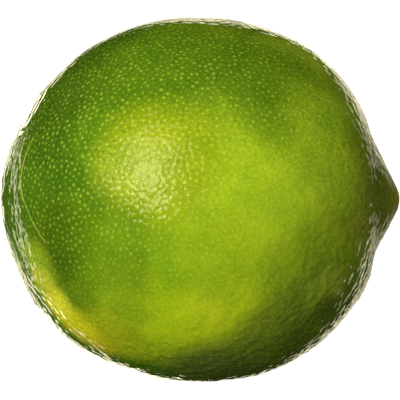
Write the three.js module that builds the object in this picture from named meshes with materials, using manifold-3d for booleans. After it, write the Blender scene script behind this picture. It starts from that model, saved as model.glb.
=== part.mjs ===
// A ripe lime lying on its side, as picked. It grew as one piece, so it is one solid.
// Millimetres, +Z up. The fruit's axis runs along X, with the stem end at -X and the nipple at +X.
// The origin is on the small flat spot that the fruit rests on, right under its widest ring.
import * as THREE from "three";
import { ParametricGeometry } from "three/addons/geometries/ParametricGeometry.js";
import { mergeVertices } from "three/addons/utils/BufferGeometryUtils.js";
import Module from "manifold-3d";

const wasm = await Module();
wasm.setup();

// The body: two half superellipsoids that meet at the widest ring, where x is 0.
const girthRadius = 27.4;
const axisHeight = 27.0; // a little less than the girth radius, which leaves the flat spot
const stemHalf = { reach: 29.0, alongPower: 2.0, acrossPower: 1.887 };
const stylarHalf = { reach: 28.4, alongPower: 2.2, acrossPower: 2.0 };

// Shallow lobes round the axis: how many, how deep, and the angle of the first crest.
const lobes = [
  { count: 2, depth: 0.12, crest: 0.35 },
  { count: 3, depth: 0.1, crest: 1.64 },
  { count: 5, depth: 0.06, crest: 1.1 },
];

// The nipple at the stylar end, the neck groove round its foot, and the scar on its tip.
const nipple = { height: 2.3, spread: 4.4, power: 1.6 };
const neck = { radius: 8.9, radiusSwing: 0.8, width: 2.9, depth: 0.62, depthSwing: 0.2 };
const stylarScar = { radius: 0.75, depth: 0.22 };

// The stem end: a dry button scar, the ring groove round it, and furrows that run out from the ring.
const stemRing = { radius: 2.5, width: 0.55, depth: 0.42 };
const stemPit = { radius: 0.6, depth: 0.3 };
const stemFurrows = { count: 7, radius: 4.6, width: 1.7, depth: 0.16, crest: 0.4 };

// The mesh: meridians round the axis, and rings along it that crowd towards both ends.
const meridians = 64;
const rings = 54;
const crowding = 0.74;

const peelGreen = 0x7d9d1c;

// A bell with its top at radius `at`, which gives a groove or a ridge round the axis.
function bell(distance, at, width) {
  return Math.exp(-(((distance - at) / width) ** 2));
}

// How far the stylar end stands out along the axis beyond its half superellipsoid.
function stylarRelief(radius, turn) {
  const towardsTop = Math.sin(turn);
  const rise = nipple.height * Math.exp(-((radius / nipple.spread) ** nipple.power));
  const neckRadius = neck.radius + neck.radiusSwing * towardsTop;
  const neckDepth = neck.depth - neck.depthSwing * towardsTop;
  const groove = neckDepth * bell(radius, neckRadius, neck.width);
  const scar = stylarScar.depth * bell(radius, 0, stylarScar.radius);
  return rise - groove - scar;
}

// How far the stem end is sunk along the axis into its half superellipsoid.
function stemRelief(radius, turn) {
  const ring = stemRing.depth * bell(radius, stemRing.radius, stemRing.width);
  const pit = stemPit.depth * bell(radius, 0, stemPit.radius);
  const wave = 0.5 - 0.5 * Math.cos(stemFurrows.count * (turn - stemFurrows.crest));
  const furrow = stemFurrows.depth * wave * bell(radius, stemFurrows.radius, stemFurrows.width);
  return ring + pit + furrow;
}

// The lobes fade out towards the ends of the axis.
function lobedRadius(radius, across, turn) {
  const swell = lobes.reduce(
    (sum, lobe) => sum + lobe.depth * Math.cos(lobe.count * (turn - lobe.crest)),
    0,
  );
  return radius + swell * across ** 2;
}

// u runs once round the axis and v runs from the stem end to the tip of the nipple.
function fruitSkin(u, v, target) {
  const turn = 2 * Math.PI * u;
  const latitude = Math.PI * (v - 0.5) - (crowding / 2) * Math.sin(2 * Math.PI * v);
  const along = Math.sin(latitude);
  const across = Math.max(0, Math.cos(latitude));
  const half = along < 0 ? stemHalf : stylarHalf;
  const smoothRadius = girthRadius * across ** (2 / half.acrossPower);
  const radius = lobedRadius(smoothRadius, across, turn);
  const reach = half.reach * Math.abs(along) ** (2 / half.alongPower);
  const x = along < 0 ? -reach + stemRelief(radius, turn) : reach + stylarRelief(radius, turn);
  target.set(x, radius * Math.cos(turn), axisHeight + radius * Math.sin(turn));
}

// A closed three.js geometry as a solid, without the triangles that have no width at the poles.
function toSolid(geometry) {
  const bare = geometry.clone().deleteAttribute("normal").deleteAttribute("uv");
  const merged = mergeVertices(bare, 1e-3);
  const corners = [];
  for (let i = 0; i < merged.index.count; i += 3) {
    const [a, b, c] = [0, 1, 2].map((k) => merged.index.getX(i + k));
    if (a !== b && b !== c && c !== a) corners.push(a, b, c);
  }
  const vertProperties = new Float32Array(merged.attributes.position.array);
  const mesh = new wasm.Mesh({ numProp: 3, vertProperties, triVerts: new Uint32Array(corners) });
  return new wasm.Manifold(mesh);
}

function toGeometry(solid) {
  const { vertProperties, triVerts } = solid.getMesh();
  const geometry = new THREE.BufferGeometry();
  geometry.setAttribute("position", new THREE.BufferAttribute(vertProperties, 3));
  geometry.setIndex(new THREE.BufferAttribute(triVerts, 1));
  geometry.computeVertexNormals();
  return geometry;
}

// A block whose top face is the surface that the fruit lies on. Cutting it away leaves the flat spot.
function underlay() {
  const side = 4 * girthRadius;
  return new THREE.BoxGeometry(side, side, side).translate(0, 0, -side / 2);
}

function makeFruit() {
  const skin = new ParametricGeometry(fruitSkin, meridians, rings);
  const solid = toSolid(skin).subtract(toSolid(underlay()));
  const peel = new THREE.MeshStandardMaterial({ color: peelGreen, roughness: 0.38, metalness: 0 });
  const mesh = new THREE.Mesh(toGeometry(solid), peel);
  mesh.name = "lime";
  return mesh;
}

const lime = new THREE.Group();
lime.add(makeFruit());

export default lime;
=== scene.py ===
# A ripe lime on a pale table, dressed round its CAD solid. Metres, +Z up, Blender 4.5.
import itertools
import math

import bpy
from mathutils import Matrix, Vector


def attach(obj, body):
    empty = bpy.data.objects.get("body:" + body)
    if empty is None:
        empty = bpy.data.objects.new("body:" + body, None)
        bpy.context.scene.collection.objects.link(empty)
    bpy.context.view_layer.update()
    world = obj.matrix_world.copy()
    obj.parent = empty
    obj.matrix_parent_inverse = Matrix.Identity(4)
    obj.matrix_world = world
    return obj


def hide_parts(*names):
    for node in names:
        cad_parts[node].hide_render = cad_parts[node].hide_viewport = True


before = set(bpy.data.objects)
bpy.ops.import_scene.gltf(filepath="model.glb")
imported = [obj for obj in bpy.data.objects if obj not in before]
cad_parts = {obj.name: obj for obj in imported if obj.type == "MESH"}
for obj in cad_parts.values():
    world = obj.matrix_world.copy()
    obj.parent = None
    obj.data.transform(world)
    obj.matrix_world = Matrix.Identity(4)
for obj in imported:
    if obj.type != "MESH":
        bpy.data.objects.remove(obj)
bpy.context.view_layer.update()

mm = 0.001
maths = "ShaderNodeMath"
vectorMaths = "ShaderNodeVectorMath"


def linear(hexColor):
    # "#rrggbb" as sRGB to the linear RGBA that a node wants
    channels = [int(hexColor[i:i + 2], 16) / 255 for i in (1, 3, 5)]
    return [c / 12.92 if c <= 0.04045 else ((c + 0.055) / 1.055) ** 2.4 for c in channels] + [1.0]


def add(tree, kind, inputs=(), **settings):
    # inputs is a list in socket order or a dict by socket, and holds nodes, sockets or values. A Mix node's
    # sockets go by number: 0 is the factor, 2 and 3 are floats, 4 and 5 vectors, 6 and 7 colours.
    node = tree.nodes.new(kind)
    for name, value in settings.items():
        setattr(node, name, value)
    pairs = inputs.items() if isinstance(inputs, dict) else enumerate(inputs)
    for key, value in pairs:
        if isinstance(value, bpy.types.Node):
            value = value.outputs[0]
        if isinstance(value, bpy.types.NodeSocket):
            tree.links.new(value, node.inputs[key])
        else:
            node.inputs[key].default_value = value
    return node


def bell(tree, distance, at, width, height):
    # height * exp(-((distance - at) / width)^2), a smooth ridge or groove round the axis
    offset = add(tree, maths, [distance, at], operation="SUBTRACT")
    share = add(tree, maths, [offset, width], operation="DIVIDE")
    square = add(tree, maths, [share, share], operation="MULTIPLY")
    fall = add(tree, maths, [add(tree, maths, [0.0, square], operation="SUBTRACT")], operation="EXPONENT")
    return add(tree, maths, [height, fall], operation="MULTIPLY")


def patchMask(tree, spot, toward, reach, soft, faint=0.0):
    # 1 within a round patch of the peel and `faint` outside it, with a soft edge
    facing = add(tree, vectorMaths, [spot, Vector(toward).normalized()], operation="DOT_PRODUCT")
    return add(tree, "ShaderNodeMapRange", {
        "Value": facing.outputs["Value"], "From Min": math.cos(math.radians(reach + soft)),
        "From Max": math.cos(math.radians(max(0, reach - soft))), "To Min": faint},
        interpolation_type="SMOOTHSTEP")


# The fruit: two half superellipsoids with a nipple and a stem button, as in the CAD, and then the
# peel's relief. Sizes are in millimetres and crests in radians round the fruit's axis, along X.
limeForm = {
    "Grid Steps": 129,             # vertices along one edge of the cube that is blown up to the fruit
    "Girth Radius": 27.4,
    "Axis Height": 27.0,
    "Stem Reach": 29.0,
    "Stem Along Power": 2.0,
    "Stem Across Power": 1.887,
    "Stylar Reach": 28.4,
    "Stylar Along Power": 2.2,
    "Stylar Across Power": 2.0,
    "Two Lobes Depth": 0.12,
    "Two Lobes Crest": 0.35,
    "Three Lobes Depth": 0.1,
    "Three Lobes Crest": 1.64,
    "Five Lobes Depth": 0.06,
    "Five Lobes Crest": 1.1,
    "Nipple Height": 2.3,
    "Nipple Spread": 4.4,
    "Nipple Power": 1.6,
    "Neck Radius": 8.9,
    "Neck Radius Swing": 0.8,
    "Neck Width": 2.9,
    "Neck Depth": 0.62,
    "Neck Depth Swing": 0.2,
    "Stylar Scar Radius": 0.75,
    "Stylar Scar Depth": 0.22,
    "Stem Ring Radius": 2.5,
    "Stem Ring Width": 0.55,
    "Stem Ring Depth": 0.42,
    "Stem Pit Radius": 0.6,
    "Stem Pit Depth": 0.3,
    "Furrow Count": 7,
    "Furrow Radius": 4.6,
    "Furrow Width": 1.7,
    "Furrow Depth": 0.16,
    "Furrow Crest": 0.4,
    "Gland Spacing": 0.77,         # least distance between two oil glands
    "Gland Density": 8.0,          # most glands tried on a square millimetre
    "Swell Size": 7.0,
    "Swell Depth": 0.3,
    "Pebble Size": 1.0,
    "Pebble Depth": 0.08,
    "Coarse Times": 3.0,           # how much deeper the pebbles are on the coarse side
    "Flat Fade": 0.5,              # height above the table where the relief starts to fade out
    "Seed": 11,
}
lobeCounts = {"Two": 2, "Three": 3, "Five": 5}
notLengths = ("Power", "Crest", "Count", "Density", "Times")
bulges = [
    # direction from the fruit's middle, reach and soft edge in degrees, height in millimetres
    ((-0.72, -0.1, -0.68), 5, 16, 0.5),      # a shoulder low down on the stem side
    ((0.0, -0.1, 1.0), 22, 20, -0.25),       # a little flat on top
    ((-0.8, -0.1, 0.57), 8, 20, -0.22),      # and above the stem end
    ((0.9, -0.1, -0.3), 4, 12, 0.25),        # full under the nipple
    ((0.62, -0.1, -0.77), 10, 22, 0.17),     # and low down on that side
]
coarseSide = {
    "toward": Vector((0.55, -0.25, -0.8)).normalized(),
    "begins": 0.3,                 # cosine of the angle off that side where the pebbles start to deepen
    "full": 0.85,                  # and where they are deepest
}


def blowUpBall(tree, size, here):
    # a cube blown up to a ball, which leaves no poles: its squares are evened out with the tangent
    steps = size["Grid Steps"]
    cube = add(tree, "GeometryNodeMeshCube", {
        "Size": (2, 2, 2), "Vertices X": steps, "Vertices Y": steps, "Vertices Z": steps})
    turned = add(tree, vectorMaths, [here, (math.pi / 4,) * 3], operation="MULTIPLY")
    evened = add(tree, vectorMaths, [turned], operation="TANGENT")
    ball = add(tree, vectorMaths, [evened], operation="NORMALIZE")
    return cube, add(tree, "ShaderNodeSeparateXYZ", [ball]).outputs


def stylarEnd(tree, size, outward, radius, turnZ):
    # nipple, the neck groove round its foot, and the scar on its tip
    share = add(tree, maths, [radius, size["Nipple Spread"]], operation="DIVIDE")
    share = add(tree, maths, [share, size["Nipple Power"]], operation="POWER")
    fall = add(tree, maths, [add(tree, maths, [0.0, share], operation="SUBTRACT")], operation="EXPONENT")
    x = add(tree, maths, [size["Nipple Height"], fall, outward], operation="MULTIPLY_ADD")
    neckRadius = add(tree, maths, [size["Neck Radius Swing"], turnZ, size["Neck Radius"]],
                     operation="MULTIPLY_ADD")
    deeper = add(tree, maths, [size["Neck Depth Swing"], turnZ], operation="MULTIPLY")
    neckDepth = add(tree, maths, [size["Neck Depth"], deeper], operation="SUBTRACT")
    neck = bell(tree, radius, neckRadius, size["Neck Width"], neckDepth)
    scar = bell(tree, radius, 0.0, size["Stylar Scar Radius"], size["Stylar Scar Depth"])
    for groove in (neck, scar):
        x = add(tree, maths, [x, groove], operation="SUBTRACT")
    return x


def stemEnd(tree, size, outward, radius, turn):
    # the ring groove round the button, the pit in it, and furrows that run out from the ring
    ring = bell(tree, radius, size["Stem Ring Radius"], size["Stem Ring Width"], size["Stem Ring Depth"])
    pit = bell(tree, radius, 0.0, size["Stem Pit Radius"], size["Stem Pit Depth"])
    angle = add(tree, maths, [turn, size["Furrow Crest"]], operation="SUBTRACT")
    angle = add(tree, maths, [angle, size["Furrow Count"]], operation="MULTIPLY")
    wave = add(tree, maths, [add(tree, maths, [angle], operation="COSINE"), -0.5, 0.5],
               operation="MULTIPLY_ADD")
    depth = add(tree, maths, [size["Furrow Depth"], wave], operation="MULTIPLY")
    furrow = bell(tree, radius, size["Furrow Radius"], size["Furrow Width"], depth)
    x = add(tree, maths, [0.0, outward], operation="SUBTRACT")
    for groove in (ring, pit, furrow):
        x = add(tree, maths, [x, groove], operation="ADD")
    return x


def growBody(tree, size, here):
    # the body as in the CAD, cut flat where it rests on the table
    cube, (along, ballY, ballZ) = blowUpBall(tree, size, here)
    yz = add(tree, "ShaderNodeCombineXYZ", [0.0, ballY, ballZ])
    across = add(tree, vectorMaths, [yz], operation="LENGTH").outputs["Value"]
    turnY, turnZ = add(tree, "ShaderNodeSeparateXYZ", [
        add(tree, vectorMaths, [yz], operation="NORMALIZE")]).outputs[1:]
    turn = add(tree, maths, [ballZ, ballY], operation="ARCTAN2")
    isStylar = add(tree, maths, [along, 0.0], operation="GREATER_THAN")

    # the radius round the axis, with shallow lobes that fade out towards the ends
    acrossPower = add(tree, "ShaderNodeMix", {
        0: isStylar, 2: size["Stem Across Power"], 3: size["Stylar Across Power"]})
    exponent = add(tree, maths, [2.0, acrossPower], operation="DIVIDE")
    radius = add(tree, maths, [across, exponent], operation="POWER")
    radius = add(tree, maths, [size["Girth Radius"], radius], operation="MULTIPLY")
    fade = add(tree, maths, [across, across], operation="MULTIPLY")
    for word, count in lobeCounts.items():
        angle = add(tree, maths, [turn, size[word + " Lobes Crest"]], operation="SUBTRACT")
        wave = add(tree, maths, [add(tree, maths, [angle, count], operation="MULTIPLY")], operation="COSINE")
        swell = add(tree, maths, [wave, size[word + " Lobes Depth"]], operation="MULTIPLY")
        radius = add(tree, maths, [swell, fade, radius], operation="MULTIPLY_ADD")

    # how far each half reaches along the axis
    alongPower = add(tree, "ShaderNodeMix", {
        0: isStylar, 2: size["Stem Along Power"], 3: size["Stylar Along Power"]})
    exponent = add(tree, maths, [2.0, alongPower], operation="DIVIDE")
    reach = add(tree, "ShaderNodeMix", {0: isStylar, 2: size["Stem Reach"], 3: size["Stylar Reach"]})
    outward = add(tree, maths, [add(tree, maths, [along], operation="ABSOLUTE"), exponent], operation="POWER")
    outward = add(tree, maths, [reach, outward], operation="MULTIPLY")
    stemX = stemEnd(tree, size, outward, radius, turn)
    stylarX = stylarEnd(tree, size, outward, radius, turnZ)

    x = add(tree, "ShaderNodeMix", {0: isStylar, 2: stemX, 3: stylarX})
    y = add(tree, maths, [radius, turnY], operation="MULTIPLY")
    z = add(tree, maths, [radius, turnZ, size["Axis Height"]], operation="MULTIPLY_ADD")
    z = add(tree, maths, [z, 0.0], operation="MAXIMUM")
    place = add(tree, "ShaderNodeCombineXYZ", [x, y, z])
    return add(tree, "GeometryNodeSetPosition", {"Geometry": cube, "Position": place})


def strewGlands(tree, size, body, here):
    # Oil glands are strewn over the peel. Each face's corners keep the way to that face's own gland,
    # so that the material can draw a round, sharp dot, and each gland has a random tone.
    density = add(tree, maths, [size["Gland Density"], mm ** -2], operation="MULTIPLY")
    glands = add(tree, "GeometryNodeDistributePointsOnFaces", {
        "Mesh": body, "Distance Min": size["Gland Spacing"], "Density Max": density,
        "Seed": size["Seed"]}, distribute_method="POISSON")
    nearest = add(tree, "GeometryNodeSampleNearest", {"Geometry": glands, "Sample Position": here})
    ownGland = add(tree, "GeometryNodeFieldOnDomain", [nearest], domain="FACE", data_type="INT")
    gland = add(tree, "GeometryNodeSampleIndex", {
        "Geometry": glands, "Value": here, "Index": ownGland}, data_type="FLOAT_VECTOR")
    way = add(tree, vectorMaths, [gland, here], operation="SUBTRACT")
    body = add(tree, "GeometryNodeStoreNamedAttribute", {
        "Geometry": body, "Name": "glandWay", "Value": way}, data_type="FLOAT_VECTOR", domain="CORNER")
    tone = add(tree, "FunctionNodeRandomValue", {"ID": ownGland, "Seed": size["Seed"]}, data_type="FLOAT")
    return add(tree, "GeometryNodeStoreNamedAttribute", {
        "Geometry": body, "Name": "glandTone", "Value": tone.outputs[1]}, domain="CORNER")


def raiseRelief(tree, size, body, here):
    # a few broad bulges, swells, and pebbles that are deepest on one lower side, move the peel in and out
    # along its normal, except where it lies on the table
    normal = add(tree, "GeometryNodeInputNormal")
    relief = 0.0
    middle = add(tree, "ShaderNodeCombineXYZ", [0.0, 0.0, size["Axis Height"]])
    spot = add(tree, vectorMaths, [here, middle], operation="SUBTRACT")
    spot = add(tree, vectorMaths, [spot], operation="NORMALIZE")
    for toward, reach, soft, height in bulges:
        mask = patchMask(tree, spot, toward, reach, soft)
        relief = add(tree, maths, [mask, height * mm, relief], operation="MULTIPLY_ADD")
    facing = add(tree, vectorMaths, [normal, coarseSide["toward"]], operation="DOT_PRODUCT")
    coarse = add(tree, "ShaderNodeMapRange", {
        "Value": facing.outputs["Value"], "From Min": coarseSide["begins"], "From Max": coarseSide["full"],
        "To Min": 1.0, "To Max": size["Coarse Times"]}, interpolation_type="SMOOTHSTEP")
    pebbleDepth = add(tree, maths, [size["Pebble Depth"], coarse], operation="MULTIPLY")
    for word, depth in (("Swell", size["Swell Depth"]), ("Pebble", pebbleDepth)):
        scale = add(tree, maths, [1.0, size[word + " Size"]], operation="DIVIDE")
        noise = add(tree, "ShaderNodeTexNoise", {"Vector": here, "Scale": scale, "Detail": 0.0})
        centred = add(tree, maths, [noise, 0.5], operation="SUBTRACT")
        relief = add(tree, maths, [centred, depth, relief], operation="MULTIPLY_ADD")
    aboveTable = add(tree, "ShaderNodeSeparateXYZ", [here]).outputs["Z"]
    lift = add(tree, maths, [aboveTable, size["Flat Fade"]], operation="DIVIDE", use_clamp=True)
    relief = add(tree, maths, [relief, lift], operation="MULTIPLY")
    outwards = add(tree, vectorMaths, {"Vector": normal, "Scale": relief}, operation="SCALE")
    return add(tree, "GeometryNodeSetPosition", {"Geometry": body, "Offset": outwards})


def growLimeTree():
    tree = bpy.data.node_groups.new("limeForm", "GeometryNodeTree")
    tree.interface.new_socket(name="Geometry", in_out="INPUT", socket_type="NodeSocketGeometry")
    for name, value in limeForm.items():
        kind = "NodeSocketInt" if isinstance(value, int) else "NodeSocketFloat"
        tree.interface.new_socket(name=name, in_out="INPUT", socket_type=kind)
    tree.interface.new_socket(name="Peel", in_out="INPUT", socket_type="NodeSocketMaterial")
    tree.interface.new_socket(name="Geometry", in_out="OUTPUT", socket_type="NodeSocketGeometry")
    size = tree.nodes.new("NodeGroupInput").outputs
    here = add(tree, "GeometryNodeInputPosition")
    body = growBody(tree, size, here)
    body = strewGlands(tree, size, body, here)
    body = raiseRelief(tree, size, body, here)
    body = add(tree, "GeometryNodeSetShadeSmooth", {"Geometry": body})
    body = add(tree, "GeometryNodeRealizeInstances", {"Geometry": body})
    body = add(tree, "GeometryNodeSetMaterial", {"Geometry": body, "Material": size["Peel"]})
    add(tree, "NodeGroupOutput", [body])
    return tree


limePeel = {
    "base": "#487418",
    "patches": [
        # Direction from the fruit's middle, reach and soft edge in degrees, colour. Later ones lie on top.
        ((-0.88, -0.46, 0.08), 16, 14, "#48701a"),      # dark towards the stem end
        ((-0.66, -0.42, 0.62), 16, 14, "#466a19"),
        ((0.1, -0.22, 0.97), 14, 12, "#688c1c"),        # browner at the top
        ((0.62, -0.3, 0.72), 12, 12, "#9abd33"),
        ((0.78, -0.25, 0.58), 5, 7, "#7f9f28"),
        ((-0.48, -0.78, 0.39), 6, 8, "#5b871c"),
        ((-0.16, -0.65, 0.74), 16, 12, "#5b851b"),      # a little paler towards the top
        ((-0.58, -0.73, -0.35), 15, 14, "#63851a"),     # olive down on the stem side
        ((-0.69, -0.7, -0.17), 7.5, 9, "#426212"),
        ((-0.22, -0.95, -0.22), 18, 13, "#568112"),     # between the greener and the paler sides
        ((0.3, -0.94, 0.08), 24, 17, "#9fc52a"),        # the pale face
        ((0.46, -0.62, 0.64), 14, 12, "#5c8419"),       # greener again towards the top right
        ((0.69, -0.62, 0.36), 12, 12, "#94ba29"),
        ((0.76, -0.62, -0.18), 13, 12, "#84a425"),
        ((-0.2, -0.93, 0.28), 15, 9, "#94af1b"),
        ((0.0, -0.8, -0.6), 17, 13, "#a8c81e"),         # paler where it lay on the ground, and brighter still as painted bounce light from the table, which sends back no light of its own
        ((0.5, -0.82, -0.29), 8, 9, "#81a422"),
        ((0.16, -0.89, -0.43), 6, 9, "#b6d026"),
        ((-0.37, -0.92, -0.1), 3, 7, "#6c941b"),        # a few small blotches on the face
        ((-0.4, -0.87, -0.3), 3, 8, "#6c921c"),
        ((-0.37, -0.78, -0.5), 3, 7, "#80a41e"),
        ((-0.1, -0.97, -0.2), 3, 7, "#76a41c"),
        ((0.12, -0.97, -0.18), 8, 9, "#90b520"),
        ((0.37, -0.72, -0.59), 6, 7, "#90aa28"),
        ((0.13, -0.51, -0.85), 14, 10, "#52682a"),      # dull, greyer and darker low down on the stylar side: painted shade where the fruit turns away from the lamps and down towards the table, with one paler spot
        ((0.57, -0.6, -0.56), 14, 12, "#6a8628"),
        ((0.51, -0.46, -0.73), 6, 7, "#58701f"),
        ((0.66, -0.62, -0.42), 3, 8, "#90ae34"),
        # painted shade: a small dark spot where the light falls off round the lower right
        ((0.66, -0.56, -0.52), 2, 6, "#566e22"),
        ((0.85, -0.42, 0.3), 6, 7, "#7c9626"),          # dull round the foot of the nipple
        ((0.88, -0.48, -0.02), 7, 9, "#8ea032"),
        ((0.71, -0.7, 0.1), 3, 6, "#94ba2c"),
        ((-0.42, -0.6, -0.68), 6, 8, "#98ac1e"),        # ripening yellow, in a crescent
        ((-0.81, -0.49, -0.31), 4, 8, "#8cac2c"),
        ((-0.53, -0.47, -0.7), 4, 6, "#bab61e"),
        ((-0.61, -0.49, -0.62), 4, 7, "#ccd628"),
        ((-0.7, -0.5, -0.5), 2, 7, "#d8e03c"),
        ((-0.78, -0.5, -0.37), 1, 6, "#b8c43c"),
        ((-0.89, -0.35, -0.3), 2, 6, "#557a1c"),        # green again round its outer edge
        ((-0.82, -0.22, -0.53), 5, 7, "#5a7a1e"),
        ((0.35, 0.85, -0.35), 30, 20, "#86aa22"),       # pale low down at the back, and dark above
        ((-0.5, 0.75, 0.4), 25, 18, "#3f640c"),
    ],
    "patchWarp": 0.16,             # how far the patches wander, as a share of the girth radius
    "patchWarpSize": 14.0,         # millimetres, as all sizes below
    "grainDetail": 3.0,            # octaves of finer grain in the blotches and speckles
    "grainRoughness": 0.6,
    "mottleSize": 6.0,
    "mottleTints": ((0.5, 0.7, 0.68), (1.5, 1.3, 1.32)),    # of the darkest and of the palest
    "speckleSize": 0.36,
    "speckleTints": ((0.1, 0.2, 0.1), (1.9, 1.8, 1.9)),
    "faintSpeckles": ((0.1, -0.97, -0.2), 34, 20),      # direction, reach and soft edge, as for patches
    "faintSpeckleShare": 0.45,
    "nipple": (8.5, "#8a9038"),    # distance from the axis where the colour has mostly faded
    "nippleTip": (2.2, "#b8a434"),
    "stemButton": (2.4, "#9a8a52"),
    "nippleDull": (6.0, 0.9),      # distance from the axis, and share of the wax that is missing there
    "scratches": [
        # start, middle and end of a thin pale line, as directions from the fruit's middle
        ((-0.83, -0.43, 0.35), (-0.88, -0.43, 0.2), (-0.88, -0.46, 0.08)),
        ((-0.88, -0.46, 0.08), (-0.84, -0.53, -0.03), (-0.76, -0.63, -0.15)),
        ((-0.89, -0.44, -0.05), (-0.86, -0.44, -0.26), (-0.76, -0.46, -0.46)),
        ((-0.86, -0.50, -0.12), (-0.81, -0.49, -0.32), (-0.70, -0.48, -0.53)),
        ((-0.84, -0.50, -0.22), (-0.77, -0.51, -0.38), (-0.66, -0.51, -0.55)),
        ((0.63, -0.53, 0.57), (0.71, -0.47, 0.52), (0.78, -0.41, 0.47)),
    ],
    "scratch": "#d0dc68",
    "scratchShare": 0.5,
    "scratchWidth": 0.07,
    "scratchFade": 0.25,           # share of its half length over which each end fades
    "scratchWaver": 0.03,
    "gland": "#bfe44a",
    "dotRadii": (0.0944, 0.2124),  # of the dots over the glands, least and most
    "dotShares": (0.34, 0.62),
    "dotPatch": ((-0.3, -0.55, 0.78), 50, 34, 0.42),    # where they show best, and their share elsewhere
    "ripple": (1.1, 1.15, 1.1),    # size along each axis
    "rippleRise": 0.15,
    "rippleDetail": 0.3,           # just enough finer waves to keep the threads of light smooth
    "rippleFacing": (-0.35, 0.9),  # facing the coarse side: where the ripples are lowest and highest
    "rippleShares": (0.9, 1.6),
    "cellSize": 0.8,
    "cellRise": 0.055,
    "cellPatch": ((-0.25, -0.96, 0.1), 40, 20, 0.0),    # the only place for them, and their share elsewhere
    "cellCalm": 0.15,              # share of the ripples left among the cells
    "domeRadius": 0.27,            # of the rise over each gland
    "domeRise": 0.035,
    "underWax": 0.45,              # share of the wax's bumps that shows in the rind under it
    "rindRoughness": 0.5,
    "waxRoughness": 0.09,
    "waxIor": 1.45,                # typical of plant wax
}


def scratchMask(tree, spot, start, middle, end):
    # a thin line along the circle through three directions, cut off at both ends
    start, middle, end = (Vector(point).normalized() for point in (start, middle, end))
    pole = (middle - start).cross(end - start).normalized()
    offset = add(tree, vectorMaths, [spot, pole], operation="DOT_PRODUCT").outputs["Value"]
    width = limePeel["scratchWidth"] / limeForm["Girth Radius"]
    line = bell(tree, offset, pole.dot(start), width, limePeel["scratchShare"])
    half = math.degrees(max(middle.angle(start), middle.angle(end)))
    stretch = patchMask(tree, spot, middle, half, half * limePeel["scratchFade"])
    return add(tree, maths, [line, stretch], operation="MULTIPLY")


def paintPatches(tree, spot):
    color = linear(limePeel["base"])
    for toward, reach, soft, hexColor in limePeel["patches"]:
        mask = patchMask(tree, spot, toward, reach, soft)
        color = add(tree, "ShaderNodeMix", {0: mask, 6: color, 7: linear(hexColor)},
                    data_type="RGBA").outputs[2]
    return color


def tintGrain(tree, coords, spot, color):
    # blotches and speckles, each between a cooler, darker tint and a warmer, lighter one
    for word in ("mottle", "speckle"):
        grain = add(tree, "ShaderNodeTexNoise", {
            "Vector": coords, "Scale": 1 / (limePeel[word + "Size"] * mm),
            "Detail": limePeel["grainDetail"], "Roughness": limePeel["grainRoughness"]}).outputs[0]
        if word == "speckle":
            faint = patchMask(tree, spot, *limePeel["faintSpeckles"])
            strength = add(tree, maths, [faint, limePeel["faintSpeckleShare"] - 1, 1.0],
                           operation="MULTIPLY_ADD")
            grain = add(tree, maths, [grain, 0.5], operation="SUBTRACT")
            grain = add(tree, maths, [grain, strength, 0.5], operation="MULTIPLY_ADD")
        cool, warm = limePeel[word + "Tints"]
        tint = add(tree, "ShaderNodeMix", {0: grain, 4: cool, 5: warm}, data_type="VECTOR").outputs[1]
        color = add(tree, vectorMaths, [color, tint], operation="MULTIPLY")
    return color


def paintEnds(tree, fromAxis, isStylar, isStem, color):
    # olive on the nipple with a brown tip, and a dry button at the stem
    for name, side in (("nipple", isStylar), ("nippleTip", isStylar), ("stemButton", isStem)):
        width, hexColor = limePeel[name]
        mask = bell(tree, fromAxis, 0.0, width / limeForm["Girth Radius"], side)
        color = add(tree, "ShaderNodeMix", {0: mask, 6: color, 7: linear(hexColor)},
                    data_type="RGBA").outputs[2]
    return color


def paintGlands(tree, spot, fromGland, color):
    # a soft pale dot over each oil gland, some larger and brighter than others
    tone = add(tree, "ShaderNodeAttribute", attribute_name="glandTone").outputs["Fac"]
    least, most = (radius * mm for radius in limePeel["dotRadii"])
    radius = add(tree, maths, [tone, most - least, least], operation="MULTIPLY_ADD")
    least, most = limePeel["dotShares"]
    share = add(tree, maths, [tone, most - least, least], operation="MULTIPLY_ADD")
    share = add(tree, maths, [share, patchMask(tree, spot, *limePeel["dotPatch"])], operation="MULTIPLY")
    dot = bell(tree, fromGland, 0.0, radius, share)
    return add(tree, "ShaderNodeMix", {0: dot, 6: color, 7: linear(limePeel["gland"])},
               data_type="RGBA").outputs[2]


def paintScratches(tree, coords, centred, color):
    # a few thin pale scratches that waver a little
    waver = add(tree, "ShaderNodeTexNoise", {
        "Vector": coords, "Scale": 1 / (limePeel["mottleSize"] * mm), "Detail": 0.0}).outputs["Color"]
    most = limePeel["scratchWaver"]
    waver = add(tree, vectorMaths, [waver, (most,) * 3, centred], operation="MULTIPLY_ADD")
    waver = add(tree, vectorMaths, [waver, (most / 2,) * 3], operation="SUBTRACT")
    spot = add(tree, vectorMaths, [waver], operation="NORMALIZE")
    for points in limePeel["scratches"]:
        mask = scratchMask(tree, spot, *points)
        color = add(tree, "ShaderNodeMix", {0: mask, 6: color, 7: linear(limePeel["scratch"])},
                    data_type="RGBA").outputs[2]
    return color


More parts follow.
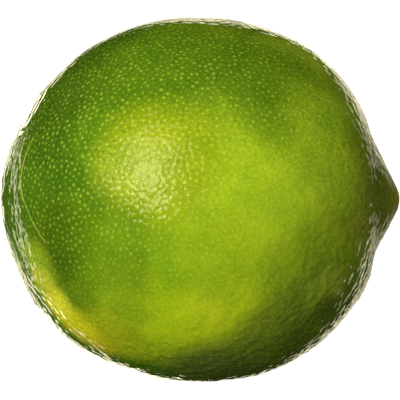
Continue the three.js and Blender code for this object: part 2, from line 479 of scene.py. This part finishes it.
def waxHeight(tree, coords, spot, fromGland):
    # the wax breaks up on ripples, and on the pale face on fine cells and a dome over each gland as well
    stretched = add(tree, vectorMaths, [coords, [size * mm for size in limePeel["ripple"]]],
                    operation="DIVIDE")
    ripple = add(tree, "ShaderNodeTexNoise", {
        "Vector": stretched, "Scale": 1.0, "Detail": limePeel["rippleDetail"]}).outputs[0]
    facing = add(tree, vectorMaths, [spot, coarseSide["toward"]], operation="DOT_PRODUCT")
    smoothAt, coarseAt = limePeel["rippleFacing"]
    least, most = limePeel["rippleShares"]
    rise = add(tree, "ShaderNodeMapRange", {
        "Value": facing.outputs["Value"], "From Min": smoothAt, "From Max": coarseAt,
        "To Min": least * limePeel["rippleRise"], "To Max": most * limePeel["rippleRise"]})
    ripple = add(tree, maths, [ripple, rise], operation="MULTIPLY")
    cell = add(tree, "ShaderNodeTexVoronoi", {"Vector": coords, "Scale": 1 / (limePeel["cellSize"] * mm)})
    rounded = add(tree, maths, [cell.outputs["Distance"], 2.0], operation="POWER")
    dome = bell(tree, fromGland, 0.0, limePeel["domeRadius"] * mm, limePeel["domeRise"])
    fine = add(tree, maths, [rounded, -limePeel["cellRise"], dome], operation="MULTIPLY_ADD")
    fineShare = patchMask(tree, spot, *limePeel["cellPatch"])
    calm = add(tree, maths, [fineShare, limePeel["cellCalm"] - 1, 1.0], operation="MULTIPLY_ADD")
    ripple = add(tree, maths, [ripple, calm], operation="MULTIPLY")
    return add(tree, maths, [fine, fineShare, ripple], operation="MULTIPLY_ADD")


def makePeel():
    # thin waxy rind: pale oil glands under a clear gloss that breaks up on fine pebbles
    material = bpy.data.materials.new("waxyCitrusPeel")
    material.use_nodes = True
    tree = material.node_tree
    tree.nodes.clear()
    coords = add(tree, "ShaderNodeTexCoord").outputs["Object"]

    # the direction from the fruit's middle, wandering a little, places the pigment patches
    girth = limeForm["Girth Radius"] * mm
    middle = limeForm["Axis Height"] * mm
    centred = add(tree, "ShaderNodeMapping", {
        "Vector": coords, "Location": (0, 0, -middle / girth), "Scale": (1 / girth,) * 3})
    wander = add(tree, "ShaderNodeTexNoise", {
        "Vector": coords, "Scale": 1 / (limePeel["patchWarpSize"] * mm),
        "Detail": limePeel["grainDetail"]}).outputs["Color"]
    wander = add(tree, vectorMaths, [wander, (0.5, 0.5, 0.5)], operation="SUBTRACT")
    wander = add(tree, vectorMaths, {"Vector": wander, "Scale": limePeel["patchWarp"]}, operation="SCALE")
    spot = add(tree, vectorMaths, [centred, wander], operation="ADD")
    spot = add(tree, vectorMaths, [spot], operation="NORMALIZE")

    # how far it is from the fruit's axis, on which half, and how far from the nearest gland
    x, y, z = add(tree, "ShaderNodeSeparateXYZ", [centred]).outputs
    yz = add(tree, "ShaderNodeCombineXYZ", [0.0, y, z])
    fromAxis = add(tree, vectorMaths, [yz], operation="LENGTH").outputs["Value"]
    isStylar = add(tree, maths, [x, 0.0], operation="GREATER_THAN")
    isStem = add(tree, maths, [x, 0.0], operation="LESS_THAN")
    way = add(tree, "ShaderNodeAttribute", attribute_name="glandWay").outputs["Vector"]
    fromGland = add(tree, vectorMaths, [way], operation="LENGTH").outputs["Value"]

    color = paintPatches(tree, spot)
    color = tintGrain(tree, coords, spot, color)
    color = paintEnds(tree, fromAxis, isStylar, isStem, color)
    color = paintGlands(tree, spot, fromGland, color)
    color = paintScratches(tree, coords, centred, color)

    width, missing = limePeel["nippleDull"]
    dull = add(tree, maths, [isStylar, missing], operation="MULTIPLY")
    dull = bell(tree, fromAxis, 0.0, width / limeForm["Girth Radius"], dull)
    waxed = add(tree, maths, [1.0, dull], operation="SUBTRACT")
    height = waxHeight(tree, coords, spot, fromGland)
    wax = add(tree, "ShaderNodeBump", {"Height": height, "Distance": mm, "Strength": 1.0})
    rind = add(tree, "ShaderNodeBump", {"Height": height, "Distance": mm, "Strength": limePeel["underWax"]})
    skin = add(tree, "ShaderNodeBsdfPrincipled", {
        "Base Color": color, "Normal": rind, "Specular IOR Level": 0.0,
        "Roughness": limePeel["rindRoughness"], "Coat Weight": waxed,
        "Coat Roughness": limePeel["waxRoughness"], "Coat IOR": limePeel["waxIor"], "Coat Normal": wax})
    add(tree, "ShaderNodeOutputMaterial", [skin])
    return material


def makeLime():
    tree = growLimeTree()
    holder = bpy.data.objects.new("lime_peel", bpy.data.meshes.new("lime_peel"))
    bpy.context.scene.collection.objects.link(holder)
    grower = holder.modifiers.new("form", "NODES")
    grower.node_group = tree
    sockets = {s.name: s.identifier for s in tree.interface.items_tree if s.in_out == "INPUT"}
    for name, value in limeForm.items():
        isLength = not isinstance(value, int) and not name.endswith(notLengths)
        grower[sockets[name]] = value * mm if isLength else value
    grower[sockets["Peel"]] = makePeel()
    graph = bpy.context.evaluated_depsgraph_get()
    mesh = bpy.data.meshes.new_from_object(
        holder.evaluated_get(graph), preserve_all_data_layers=True, depsgraph=graph)
    holder.modifiers.clear()
    holder.data = mesh
    return holder


lime = makeLime()
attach(lime, "root")
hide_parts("lime")
print("lime grown:", len(lime.data.polygons), "faces")


# The table is a plain white sheet that neither colours the fruit nor shows in its gloss.
table = {
    "halfSide": 30.0,              # metres
    "paper": "#f2f2f0",
    "roughness": 0.9,
}


def makeTable():
    half = table["halfSide"]
    corners = [(-half, -half, 0), (half, -half, 0), (half, half, 0), (-half, half, 0)]
    mesh = bpy.data.meshes.new("floor")
    mesh.from_pydata(corners, [], [(0, 1, 2, 3)])
    floor = bpy.data.objects.new("floor", mesh)
    bpy.context.scene.collection.objects.link(floor)
    # matt white paper, so pale and even that only the faint shadow shows on it
    paper = bpy.data.materials.new("whitePaper")
    paper.use_nodes = True
    shader = paper.node_tree.nodes["Principled BSDF"]
    shader.inputs["Base Color"].default_value = linear(table["paper"])
    shader.inputs["Roughness"].default_value = table["roughness"]
    shader.inputs["Specular IOR Level"].default_value = 0.0
    mesh.materials.append(paper)
    floor.visible_diffuse = False
    floor.visible_glossy = False
    return floor


floor = makeTable()
print("table laid")


view = {
    "lens": 200.0,
    "elevation": 5.5,              # degrees above the table
    "aim": (0.75, 0.0, 26.85),     # millimetres
    "distance": 333.0,
    "clip": (0.01, 100.0),         # metres
}


def makeCamera():
    camera = bpy.data.cameras.new("camera")
    camera.lens = view["lens"]
    camera.clip_start, camera.clip_end = view["clip"]
    elevation = math.radians(view["elevation"])
    back = Vector((0, -math.cos(elevation), math.sin(elevation)))
    cameraObject = bpy.data.objects.new("camera", camera)
    cameraObject.location = (Vector(view["aim"]) + back * view["distance"]) * mm
    cameraObject.rotation_euler = back.to_track_quat("Z", "Y").to_euler()
    bpy.context.scene.collection.objects.link(cameraObject)
    bpy.context.scene.camera = cameraObject


studio = {
    "lamps": {
        # direction seen from the fruit (degrees from the camera's side, degrees up), distance in metres,
        # width and height in metres, brightness, colour, and whether it shows in the gloss
        "keyBox": (-29, 27, 0.5, (0.27, 0.34), 3.9, "#fff0b0", True),
        "keyCore": (-27, 16, 0.5, (0.18, 0.21), 4.8, "#fff0b0", True),
        "keyLeftEdge": (-53, 20, 0.5, (0.035, 0.2), 5.0, "#fff0b0", True),
        "keyRightEdge": (-6, 19, 0.5, (0.025, 0.2), 4.0, "#fff0b0", True),
        "keySoft": (-31, -5, 0.6, (0.5, 0.6), 1.6, "#fff4d4", False),
        "fillBox": (65, 5, 0.7, (0.5, 0.5), 0.75, "#fff0c8", False),
        "topSoft": (10, 70, 0.7, (0.5, 0.5), 0.9, "#fff0c8", False),
        "backSoft": (180, 15, 0.7, (0.5, 0.5), 2.4, "#fff0d8", False),
        "tableBounce": (-70, -25, 0.5, (0.5, 0.5), 0.7, "#fff0c8", False),
    },
    "rimCards": {
        # Pale cards behind the fruit, each a band that bends round it as the camera sees it: strips side by
        # side, and corners. Every corner is degrees round from the right, the nearest and farthest degrees
        # from straight behind, and brightness.
        "leftThreads": (1, [(156, 34, 40, 1.0), (161, 37, 43, 1.4), (167, 43, 49, 1.9), (174, 49, 55, 2.5),
                            (184, 52, 58, 2.9), (198, 49, 55, 2.9), (207, 46, 52, 2.2)]),
        "top": (2, [(164, 10, 26, 0.2), (155, 8, 34, 2.6), (146, 8, 34, 2.7), (136, 8, 26, 0.75),
                    (120, 8, 20, 0.6), (105, 8, 24, 1.1), (90, 8, 38, 0.6), (75, 8, 24, 0.9),
                    (60, 8, 24, 1.6)]),
        "rightHigh": (2, [(60, 8, 24, 1.6), (46, 8, 24, 0.85), (30, 16, 46, 0.75), (14, 28, 48, 0.55)]),
        "rightLow": (2, [(346, 30, 50, 0.5), (330, 10, 42, 0.85), (315, 8, 32, 0.5), (300, 8, 24, 1.4),
                         (284, 8, 20, 1.0), (268, 8, 14, 0.6)]),
        "leftLow": (2, [(202, 10, 34, 0.5), (208, 8, 46, 1.4), (216, 8, 42, 1.7), (226, 8, 43, 2.0),
                        (236, 8, 17, 1.1), (256, 8, 28, 2.6), (268, 8, 14, 0.6)]),
        "leftEdge": (1, [(170, 10, 24, 0.5), (184, 10, 30, 2.0), (202, 10, 20, 0.6)]),
    },
    "cardDistance": 0.4,           # metres
    "cardOverlap": 1.1,            # length of a card against the gap between its two corners
    "cardColor": "#fff4d0",
    "tableSuns": {"evenSun": (3.6, False), "shadowSun": (0.15, True)},      # strength, casts a shadow
    "tableSunAngle": 60.0,
    "worldDim": 0.1,               # strength of the world's soft light
}


def hangLamp(name, wide, tall, brightness, hexColor, place, turned, onlyLime):
    # a flat lamp or card that lights the fruit alone and that the camera never sees
    lamp = bpy.data.lights.new(name, "AREA")
    lamp.shape = "RECTANGLE"
    lamp.size = wide
    lamp.size_y = tall
    lamp.color = linear(hexColor)[:3]
    lamp.energy = brightness * math.pi * wide * tall
    lampObject = bpy.data.objects.new(name, lamp)
    lampObject.location = place
    lampObject.rotation_euler = turned
    lampObject.visible_camera = False
    lampObject.light_linking.receiver_collection = onlyLime
    lampObject.light_linking.blocker_collection = onlyLime
    bpy.context.scene.collection.objects.link(lampObject)
    return lampObject


def hangLamps(middle, onlyLime):
    for name, facts in studio["lamps"].items():
        azimuth, elevation, distance, (wide, tall), brightness, hexColor, shines = facts
        a, e = math.radians(azimuth), math.radians(elevation)
        toward = Vector((math.sin(a) * math.cos(e), -math.cos(a) * math.cos(e), math.sin(e)))
        turned = toward.to_track_quat("Z", "Y").to_euler()
        lamp = hangLamp(name, wide, tall, brightness, hexColor, middle + toward * distance, turned, onlyLime)
        lamp.visible_glossy = shines


def hangRimCards(middle, onlyLime):
    # each card faces the fruit and runs between two corners of its band
    elevation = math.radians(view["elevation"])
    right = Vector((1, 0, 0))
    up = Vector((0, math.sin(elevation), math.cos(elevation)))
    behind = up.cross(right)
    distance = studio["cardDistance"]
    for name, (strips, corners) in studio["rimCards"].items():
        for number, strip in itertools.product(range(len(corners) - 1), range(strips)):
            pair = corners[number:number + 2]
            ways = []
            for turn, near, far, _ in pair:
                tilt = math.radians(near + (far - near) * (strip + 0.5) / strips)
                outwards = right * math.cos(math.radians(turn)) + up * math.sin(math.radians(turn))
                ways.append(behind * math.cos(tilt) + outwards * math.sin(tilt))
            start, end = ways
            toward = (start + end).normalized()
            along = (end - start).normalized()
            turned = Matrix((along.cross(toward), along, toward)).transposed().to_euler()
            spread = sum(far - near for _, near, far, _ in pair) / 2 / strips
            wide = math.radians(spread) * distance
            tall = (end - start).length * distance * studio["cardOverlap"]
            brightness = sum(bright for *_, bright in pair) / 2
            hangLamp(f"{name}{number}{strip}", wide, tall, brightness, studio["cardColor"],
                     middle + toward * distance, turned, onlyLime)


def lightTable(onlyTable):
    # wide suns light only the table, and just one of them lets the fruit cast a faint shadow
    for name, (strength, casts) in studio["tableSuns"].items():
        sun = bpy.data.lights.new(name, "SUN")
        sun.energy = strength
        sun.angle = math.radians(studio["tableSunAngle"])
        sunObject = bpy.data.objects.new(name, sun)
        sunObject.light_linking.receiver_collection = onlyTable
        if not casts:
            sunObject.light_linking.blocker_collection = onlyTable
        bpy.context.scene.collection.objects.link(sunObject)


def makeWorld():
    # white to the camera, dim for soft light, and black in the gloss
    world = bpy.data.worlds.new("studio")
    bpy.context.scene.world = world
    world.use_nodes = True
    tree = world.node_tree
    tree.nodes.clear()
    ray = add(tree, "ShaderNodeLightPath").outputs
    soft = add(tree, maths, [ray["Is Diffuse Ray"], studio["worldDim"]], operation="MULTIPLY")
    strength = add(tree, maths, [ray["Is Camera Ray"], soft], operation="ADD")
    glow = add(tree, "ShaderNodeBackground", {"Color": (1, 1, 1, 1), "Strength": strength})
    add(tree, "ShaderNodeOutputWorld", [glow])


def makeStudio():
    onlyLime = bpy.data.collections.new("onlyLime")
    onlyLime.objects.link(lime)
    onlyTable = bpy.data.collections.new("onlyTable")
    onlyTable.objects.link(floor)
    middle = Vector((0, 0, limeForm["Axis Height"] * mm))
    hangLamps(middle, onlyLime)
    hangRimCards(middle, onlyLime)
    lightTable(onlyTable)
    makeWorld()


makeStudio()
makeCamera()
bpy.context.scene.view_settings.view_transform = "Standard"
print("lamps, cards and camera ready")
